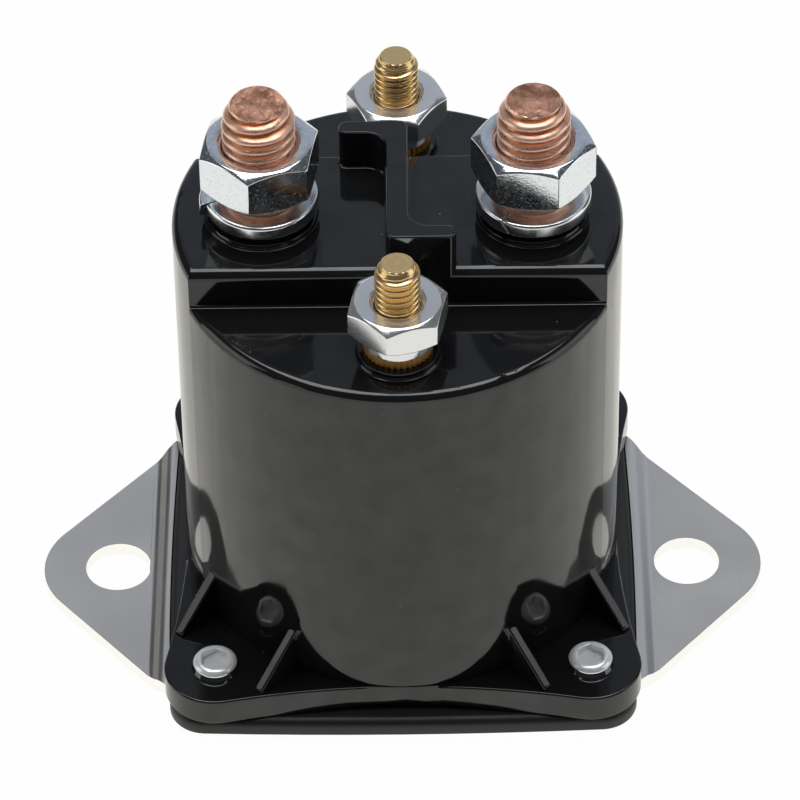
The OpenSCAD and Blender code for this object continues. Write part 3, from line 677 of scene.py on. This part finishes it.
def grained(name, dark, light, metallic, roughness, scale, depth, stretch=(1, 1, 1)):
    """A finish whose colour, roughness and surface follow one grain."""
    finish = new_finish(name, light, metallic, roughness)
    grain = noise_on(finish, scale, stretch=stretch)
    set_by(finish, "Base Color", two_tone(finish, grain, dark, light))
    set_by(finish, "Roughness", remap(finish, grain, 0.8 * roughness, 1.2 * roughness))
    set_by(finish, "Normal", bump_from(finish, grain, depth, 0.6))
    return finish


frame_steel = grained("frame steel", (0.36, 0.36, 0.37, 1), (0.48, 0.48, 0.49, 1), 1.0, 0.35,
                      scale=1500, depth=0.006 * mm)
spring_steel = grained("spring steel", (0.50, 0.50, 0.51, 1), (0.60, 0.60, 0.61, 1), 1.0, 0.28,
                       scale=2600, depth=0.004 * mm)
natural = grained("natural moulding", (0.56, 0.51, 0.39, 1), (0.68, 0.63, 0.51, 1), 0.0, 0.45,
                  scale=900, depth=0.01 * mm)
phenolic = grained("pressed phenolic", (0.40, 0.27, 0.11, 1), (0.60, 0.45, 0.21, 1), 0.0, 0.55,
                   scale=600, depth=0.01 * mm)
enamel = grained("enamelled wire", (0.20, 0.05, 0.015, 1), (0.44, 0.15, 0.045, 1), 0.0, 0.30,
                 scale=2500, depth=0.08 * mm, stretch=(0.02, 0.02, 1))

for finish, parts in (
        (frame_steel, ("coil_can", "pole_plate", "plunger", "push_rod")),
        (spring_steel, ("spring_seat", "contact_spring", "rod_clip")),
        (natural, ("bobbin",)),
        (phenolic, ("contact_bush", "bush_washer")),
        (enamel, ("winding", "coil_lead_front", "coil_lead_back")),
        (copper, ("contact_disc",))):
    for part in parts:
        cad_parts[part].data.materials.clear()
        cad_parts[part].data.materials.append(finish.material)


# Return spring: wound from hard drawn wire. It stands in the plunger's pocket and presses against the
# fixed core.

spring = solid_copy("return_spring", "wound_return_spring")
soften(spring)
spring.data.materials.append(spring_steel.material)
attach(spring, "relay")
low, high = (Vector(corner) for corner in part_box("return_spring"))
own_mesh(spring)


# Studio: a white table in dim grey surroundings, with a large soft light overhead and a weaker one on each
# side. Three faint ones behind give the dark moulding its sheen.

white = (1, 1, 1, 1)
warm_white = (0.98, 0.965, 0.90, 1)
paper_white = (0.86, 0.86, 0.86, 1)
dim_grey = (0.064, 0.067, 0.072, 1)
table_size = 6
table_glow = 0.98

bpy.ops.object.select_all(action='DESELECT')
bpy.ops.mesh.primitive_plane_add(size=table_size, location=(0, 0, 0))
table = bpy.context.object
table.name = "table"
white_paper = bpy.data.materials.new("white paper")
white_paper.use_nodes = True
paper = SimpleNamespace(nodes=white_paper.node_tree.nodes, links=white_paper.node_tree.links)
paper.nodes.remove(paper.nodes["Principled BSDF"])
matt = paper.nodes.new("ShaderNodeBsdfDiffuse")
matt.inputs["Color"].default_value = paper_white
rays = paper.nodes.new("ShaderNodeLightPath").outputs
glow = paper.nodes.new("ShaderNodeEmission")
glow.inputs["Strength"].default_value = 1.0
paper.links.new(two_tone(paper, rays["Is Camera Ray"], warm_white, white), glow.inputs["Color"])
seen = calculate(paper, 'MAXIMUM', rays["Is Camera Ray"], rays["Is Glossy Ray"])
seen_through = calculate(paper, 'MAXIMUM', seen, rays["Is Transmission Ray"])
blend = paper.nodes.new("ShaderNodeMixShader")
paper.links.new(calculate(paper, 'MULTIPLY', seen_through, table_glow), blend.inputs["Fac"])
paper.links.new(matt.outputs["BSDF"], blend.inputs[1])
paper.links.new(glow.outputs["Emission"], blend.inputs[2])
paper.links.new(blend.outputs["Shader"], paper.nodes["Material Output"].inputs["Surface"])
table.data.materials.append(white_paper)

world = bpy.data.worlds.new("studio")
bpy.context.scene.world = world
world.use_nodes = True
room = SimpleNamespace(nodes=world.node_tree.nodes, links=world.node_tree.links)
background = room.nodes["Background"]
background.inputs["Strength"].default_value = 1.0
rays = room.nodes.new("ShaderNodeLightPath").outputs
room.links.new(two_tone(room, rays["Is Camera Ray"], dim_grey, white), background.inputs["Color"])


def soft_light(name, place, size_x, size_y, radiance, tint, aim=(0, 0, 0.04)):
    """A rectangular soft light that faces the relay, or another point where one is given."""
    lamp = bpy.data.lights.new(name, 'AREA')
    lamp.shape = 'RECTANGLE'
    lamp.size = size_x
    lamp.size_y = size_y
    lamp.energy = radiance * pi * size_x * size_y
    lamp.color = tint
    holder = bpy.data.objects.new(name, lamp)
    holder.location = place
    holder.rotation_euler = (Vector(place) - Vector(aim)).to_track_quat('Z', 'Y').to_euler()
    bpy.context.scene.collection.objects.link(holder)


soft_light("overhead", (0, 0.10, 0.70), 0.60, 0.46, 3.9, (0.98, 0.99, 1.0))
soft_light("left", (-0.75, -0.05, 0.32), 0.45, 0.50, 1.3, (1.0, 0.99, 0.97))
soft_light("right", (0.75, -0.05, 0.32), 0.45, 0.50, 1.3, (0.97, 0.98, 1.0))
soft_light("left back", (-1.42, 1.60, 0.37), 0.55, 0.42, 0.15, (0.96, 0.99, 1.05))
soft_light("low back", (0.35, 1.6, 0.77), 2.5, 1.42, 0.31, (0.87, 0.97, 1.16), aim=(0.35, 0, 0.77))
soft_light("high back", (0.20, 1.6, 1.94), 2.5, 0.88, 0.20, (0.91, 0.98, 1.11), aim=(0.20, 0, 1.94))


# Camera: a long lens, 0.56 m from the relay and 43 degrees above the table. It is rolled by a little
# less than a degree.

elevation = radians(42.712)
azimuth = radians(0.355)
roll = radians(-0.861)
distance = 0.5578
focal_length = 227.6
sensor = 36
centre = Vector((-0.000006, 0, 0.026864))
back = Vector((sin(azimuth) * cos(elevation), -cos(azimuth) * cos(elevation), sin(elevation)))
across = (-back).cross(Vector((0, 0, 1))).normalized()
upward = across.cross(-back)
right = across * cos(roll) + upward * sin(roll)
above = upward * cos(roll) - across * sin(roll)
turned = Matrix((right, above, back)).transposed().to_4x4()
lens = bpy.data.cameras.new("camera")
lens.sensor_width = sensor
lens.lens = focal_length
lens.clip_start = 0.01
camera = bpy.data.objects.new("camera", lens)
bpy.context.scene.collection.objects.link(camera)
camera.matrix_world = Matrix.Translation(centre + back * distance) @ turned
bpy.context.scene.camera = camera
bpy.context.scene.view_settings.view_transform = 'Standard'
